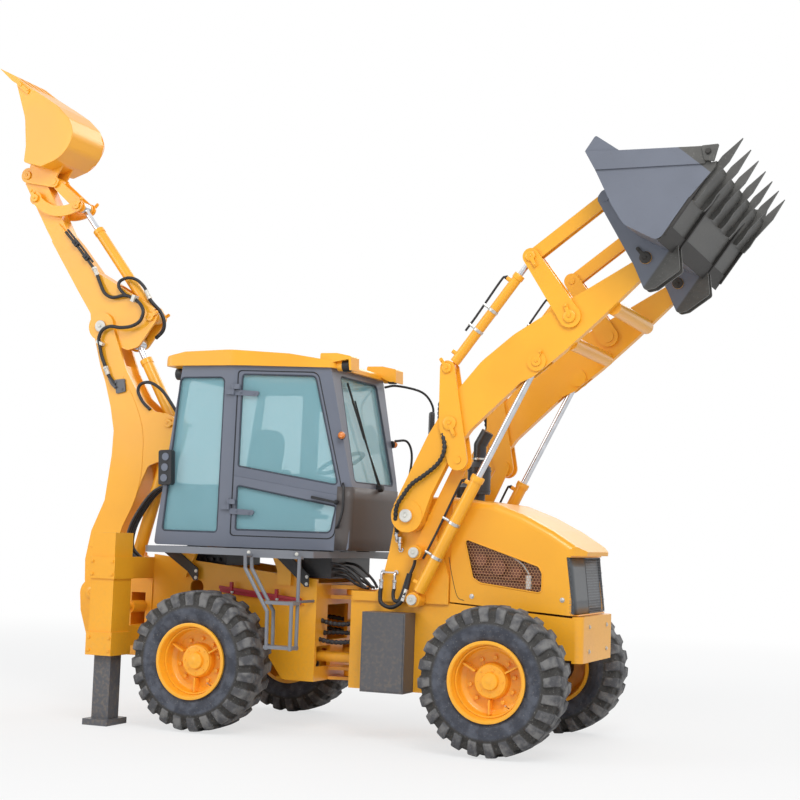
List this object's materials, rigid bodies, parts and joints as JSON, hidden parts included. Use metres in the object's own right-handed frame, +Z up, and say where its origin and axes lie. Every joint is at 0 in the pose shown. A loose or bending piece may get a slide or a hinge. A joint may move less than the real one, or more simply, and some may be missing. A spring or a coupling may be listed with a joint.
{
  "type": "articulated backhoe loader",
  "caption": "Compact articulated backhoe loader: enclosed cab, front loader arms raised with toothed bucket, rear digging arm on a swing post and two stabilizer legs.",
  "frame": {"origin": "middle of the outline on the ground", "axes": "+X forward to the loader bucket, +Y to the operator's left, +Z up"},
  "size_m": [6.757, 2.13, 5.598],
  "materials": {
    "yellow_paint": "gloss",
    "grey_paint": "satin",
    "slate_paint": "satin",
    "dark_paint": "satin",
    "tyre": "matte",
    "chrome": "polished",
    "steel": "brushed",
    "iron": "rough",
    "plastic": "matte",
    "seat_fabric": "woven"
  },
  "bodies": {
    "rear_body": {"rear_frame": "yellow_paint", "axle_rear": "yellow_paint", "battery_box": "dark_paint", "cab_shell": "slate_paint", "cab_roof": "slate_paint", "side_platforms": "grey_paint", "seat": "seat_fabric", "cab_console": "plastic", "backhoe_frame": "yellow_paint"},
    "front_body": {"front_frame": "yellow_paint", "side_boxes": "grey_paint", "front_bumper": "yellow_paint", "engine_block": "iron", "hood": "yellow_paint", "hood_grilles": "dark_paint", "exhaust_stack": "dark_paint", "axle_front": "yellow_paint"},
    "wheel_front_right": {"rim_front_right": "yellow_paint", "tyre_front_right": "tyre"},
    "wheel_front_left": {"rim_front_left": "yellow_paint", "tyre_front_left": "tyre"},
    "wheel_rear_right": {"rim_rear_right": "yellow_paint", "tyre_rear_right": "tyre"},
    "wheel_rear_left": {"rim_rear_left": "yellow_paint", "tyre_rear_left": "tyre"},
    "arms": {"lift_arms": "yellow_paint"},
    "lift_barrel": {"lift_barrels": "yellow_paint"},
    "lift_rod": {"lift_rods": "chrome"},
    "bellcrank": {"bellcranks": "yellow_paint"},
    "crank_pin": {"crank_pins": "steel"},
    "lower_link": {"lower_links": "yellow_paint"},
    "tilt_barrel": {"tilt_barrels": "yellow_paint"},
    "tilt_rod": {"tilt_rods": "chrome"},
    "lever_shaft": {"lever_shafts": "steel"},
    "upper_lever": {"upper_levers": "yellow_paint"},
    "lever_pin": {"lever_pins": "steel"},
    "bucket_link": {"bucket_links": "yellow_paint"},
    "bucket_pin": {"bucket_pins": "steel"},
    "bucket": {"loader_bucket": "grey_paint"},
    "steer_barrel_right": {"steer_barrel_right": "yellow_paint"},
    "steer_rod_right": {"steer_rod_right": "chrome"},
    "steer_barrel_left": {"steer_barrel_left": "yellow_paint"},
    "steer_rod_left": {"steer_rod_left": "chrome"},
    "door_right": {"door_right": "slate_paint"},
    "door_left": {"door_left": "slate_paint"},
    "leg_right": {"stabilizer_leg_right": "grey_paint"},
    "leg_left": {"stabilizer_leg_left": "grey_paint"},
    "kingpost": {"kingpost": "yellow_paint"},
    "boom": {"boom": "yellow_paint"},
    "boom_barrel": {"boom_barrel": "yellow_paint"},
    "boom_rod": {"boom_rod": "chrome"},
    "dipper": {"dipper": "yellow_paint"},
    "dipper_barrel": {"dipper_barrel": "yellow_paint"},
    "dipper_rod": {"dipper_rod": "chrome"},
    "digger_lever": {"digger_lever": "yellow_paint"},
    "digger_link": {"digger_link": "yellow_paint"},
    "digger_barrel": {"digger_barrel": "yellow_paint"},
    "digger_rod": {"digger_rod": "chrome"},
    "digger_bucket": {"digger_bucket": "yellow_paint"}
  },
  "joints": [
    {"name": "steer", "type": "hinge", "parent": "rear_body", "child": "front_body", "pos_m": [0.22, 0, 0.58], "axis": [0, 0, 1], "range_deg": [-35, 35]},
    {"name": "spin_front_right", "type": "hinge", "parent": "front_body", "child": "wheel_front_right", "pos_m": [1.655, -0.847, 0.5375], "axis": [0, 1, 0], "continuous": true},
    {"name": "spin_front_left", "type": "hinge", "parent": "front_body", "child": "wheel_front_left", "pos_m": [1.655, 0.847, 0.5375], "axis": [0, 1, 0], "continuous": true},
    {"name": "spin_rear_right", "type": "hinge", "parent": "rear_body", "child": "wheel_rear_right", "pos_m": [-0.715, -0.847, 0.5375], "axis": [0, 1, 0], "continuous": true},
    {"name": "spin_rear_left", "type": "hinge", "parent": "rear_body", "child": "wheel_rear_left", "pos_m": [-0.715, 0.847, 0.5375], "axis": [0, 1, 0], "continuous": true},
    {"name": "lift", "type": "hinge", "parent": "front_body", "child": "arms", "pos_m": [0.842, 0, 1.694], "axis": [0, -1, 0], "range_deg": [-82, 0]},
    {"name": "lower_link_turn", "type": "hinge", "parent": "front_body", "child": "lower_link", "pos_m": [0.911, 0, 1.42], "axis": [0, -1, 0], "range_deg": [-82.02, 0.02]},
    {"name": "bellcrank_turn", "type": "hinge", "parent": "arms", "child": "bellcrank", "pos_m": [1.173, 0, 2.393], "axis": [0, -1, 0], "range_deg": [-0.02, 82.02]},
    {"name": "crank_pin_turn", "type": "hinge", "parent": "bellcrank", "child": "crank_pin", "pos_m": [1.139, 0, 2.809], "axis": [0, -1, 0], "range_deg": [-92.95, 0.02]},
    {"name": "lift_barrel_turn", "type": "hinge", "parent": "front_body", "child": "lift_barrel", "pos_m": [0.917, 0, 1.068], "axis": [0, -1, 0], "range_deg": [-71.94, 0.02]},
    {"name": "lift_rod_slide", "type": "slide", "parent": "lift_barrel", "child": "lift_rod", "axis": [0.4558, 0, 0.8901], "range_m": [-0.78012, 0.0002]},
    {"name": "lever_shaft_turn", "type": "hinge", "parent": "arms", "child": "lever_shaft", "pos_m": [2.079, 0, 3.182], "axis": [0, -1, 0], "range_deg": [-0.02, 63.14]},
    {"name": "upper_lever_turn", "type": "hinge", "parent": "lever_shaft", "child": "upper_lever", "pos_m": [2.079, 0, 3.182], "axis": [0, 1, 0], "range_deg": [-0.02, 66.02]},
    {"name": "lever_pin_turn", "type": "hinge", "parent": "upper_lever", "child": "lever_pin", "pos_m": [1.769, 0, 3.638], "axis": [0, -1, 0], "range_deg": [-63.14, 0.02]},
    {"name": "bucket_link_turn", "type": "hinge", "parent": "lever_pin", "child": "bucket_link", "pos_m": [1.769, 0, 3.638], "axis": [0, 1, 0], "range_deg": [-66.02, 0.02]},
    {"name": "bucket_pin_turn", "type": "hinge", "parent": "arms", "child": "bucket_pin", "pos_m": [2.634, 0, 3.595], "axis": [0, -1, 0], "range_deg": [-0.02, 63.14]},
    {"name": "tilt", "type": "hinge", "parent": "bucket_pin", "child": "bucket", "pos_m": [2.634, 0, 3.595], "axis": [0, 1, 0], "range_deg": [0, 66]},
    {"name": "tilt_barrel_turn", "type": "hinge", "parent": "crank_pin", "child": "tilt_barrel", "pos_m": [1.139, 0, 2.809], "axis": [0, 1, 0], "range_deg": [-0.02, 18.41]},
    {"name": "tilt_rod_slide", "type": "slide", "parent": "tilt_barrel", "child": "tilt_rod", "axis": [0.6051, 0, 0.7962], "range_m": [-0.0002, 0.44979]},
    {"name": "steer_barrel_right_turn", "type": "hinge", "parent": "rear_body", "child": "steer_barrel_right", "pos_m": [-0.13, -0.25, 0.58], "axis": [0, 0, 1], "range_deg": [-17.52, 17.52]},
    {"name": "steer_rod_right_slide", "type": "slide", "parent": "steer_barrel_right", "child": "steer_rod_right", "axis": [1, 0, 0], "range_m": [-0.1504, 0.1504]},
    {"name": "steer_barrel_left_turn", "type": "hinge", "parent": "rear_body", "child": "steer_barrel_left", "pos_m": [-0.13, 0.25, 0.58], "axis": [0, 0, 1], "range_deg": [-17.52, 17.52]},
    {"name": "steer_rod_left_slide", "type": "slide", "parent": "steer_barrel_left", "child": "steer_rod_left", "axis": [1, 0, 0], "range_m": [-0.1504, 0.1504]},
    {"name": "door_right_swing", "type": "hinge", "parent": "rear_body", "child": "door_right", "pos_m": [-0.594, -0.756, 2.15], "axis": [0, 0, -1], "range_deg": [0, 85]},
    {"name": "leg_right_slide", "type": "slide", "parent": "rear_body", "child": "leg_right", "axis": [0, 0, 1], "range_m": [0, 0.45]},
    {"name": "door_left_swing", "type": "hinge", "parent": "rear_body", "child": "door_left", "pos_m": [-0.594, 0.756, 2.15], "axis": [0, 0, 1], "range_deg": [0, 85]},
    {"name": "leg_left_slide", "type": "slide", "parent": "rear_body", "child": "leg_left", "axis": [0, 0, 1], "range_m": [0, 0.45]},
    {"name": "swing", "type": "hinge", "parent": "rear_body", "child": "kingpost", "pos_m": [-1.85, 0, 0.76], "axis": [0, 0, 1], "range_deg": [-90, 90]},
    {"name": "boom_lower", "type": "hinge", "parent": "kingpost", "child": "boom", "pos_m": [-2.19, 0, 0.97], "axis": [0, -1, 0], "range_deg": [0, 125]},
    {"name": "boom_barrel_turn", "type": "hinge", "parent": "kingpost", "child": "boom_barrel", "pos_m": [-1.86, 0, 1.23], "axis": [0, -1, 0], "range_deg": [-0.02, 121.34]},
    {"name": "boom_rod_slide", "type": "slide", "parent": "boom_barrel", "child": "boom_rod", "axis": [0.2691, 0, 0.9631], "range_m": [-0.0002, 0.74061]},
    {"name": "dipper_crowd", "type": "hinge", "parent": "boom", "child": "dipper", "pos_m": [-2.259, 0, 3.26], "axis": [0, -1, 0], "range_deg": [0, 115]},
    {"name": "dipper_barrel_turn", "type": "hinge", "parent": "boom", "child": "dipper_barrel", "pos_m": [-1.54, 0, 2.42], "axis": [0, -1, 0], "range_deg": [-0.02, 1.94]},
    {"name": "dipper_rod_slide", "type": "slide", "parent": "dipper_barrel", "child": "dipper_rod", "axis": [-0.4963, 0, 0.8682], "range_m": [-0.0002, 0.57873]},
    {"name": "digger_curl", "type": "hinge", "parent": "dipper", "child": "digger_bucket", "pos_m": [-3.117, 0, 4.64], "axis": [0, -1, 0], "range_deg": [0, 150]},
    {"name": "digger_lever_turn", "type": "hinge", "parent": "dipper", "child": "digger_lever", "pos_m": [-3.005, 0, 4.422], "axis": [0, -1, 0], "range_deg": [-0.02, 95.43]},
    {"name": "digger_link_turn", "type": "hinge", "parent": "digger_lever", "child": "digger_link", "pos_m": [-2.57, 0, 4.337], "axis": [0, -1, 0], "range_deg": [-51.13, 0.02]},
    {"name": "digger_barrel_turn", "type": "hinge", "parent": "dipper", "child": "digger_barrel", "pos_m": [-1.782, 0, 3.334], "axis": [0, -1, 0], "range_deg": [-0.532, 0.02]},
    {"name": "digger_rod_slide", "type": "slide", "parent": "digger_barrel", "child": "digger_rod", "axis": [-0.6178, 0, 0.7863], "range_m": [-0.0002, 0.65574]}
  ],
  "couplings": [
    {"joint": "lower_link_turn", "follows": "lift", "ratio": 1},
    {"joint": "bellcrank_turn", "follows": "lift", "ratio": -1},
    {"joint": "crank_pin_turn", "follows": "lift", "ratio": 1.1333},
    {"joint": "lift_barrel_turn", "follows": "lift", "ratio": 0.87708},
    {"joint": "lift_rod_slide", "follows": "lift", "m_per_rad": 0.54495},
    {"joint": "lever_shaft_turn", "follows": "lift", "ratio": -0.76971},
    {"joint": "upper_lever_turn", "follows": "tilt", "ratio": 1},
    {"joint": "lever_pin_turn", "follows": "lift", "ratio": 0.76971},
    {"joint": "bucket_link_turn", "follows": "tilt", "ratio": -1},
    {"joint": "bucket_pin_turn", "follows": "lift", "ratio": -0.76971},
    {"joint": "tilt_barrel_turn", "follows": "tilt", "ratio": 0.2787},
    {"joint": "tilt_rod_slide", "follows": "tilt", "m_per_rad": 0.3903},
    {"joint": "steer_barrel_right_turn", "follows": "steer", "ratio": 0.5},
    {"joint": "steer_rod_right_slide", "follows": "steer", "m_per_rad": 0.24588},
    {"joint": "steer_barrel_left_turn", "follows": "steer", "ratio": 0.5},
    {"joint": "steer_rod_left_slide", "follows": "steer", "m_per_rad": -0.24588},
    {"joint": "boom_barrel_turn", "follows": "boom_lower", "ratio": 0.97056},
    {"joint": "boom_rod_slide", "follows": "boom_lower", "m_per_rad": 0.33938},
    {"joint": "dipper_barrel_turn", "follows": "dipper_crowd", "ratio": 0.016707},
    {"joint": "dipper_rod_slide", "follows": "dipper_crowd", "m_per_rad": 0.28824},
    {"joint": "digger_lever_turn", "follows": "digger_curl", "ratio": 0.63605},
    {"joint": "digger_link_turn", "follows": "digger_curl", "ratio": -0.34076},
    {"joint": "digger_barrel_turn", "follows": "digger_curl", "ratio": -0.0034119},
    {"joint": "digger_rod_slide", "follows": "digger_curl", "m_per_rad": 0.2504}
  ]
}
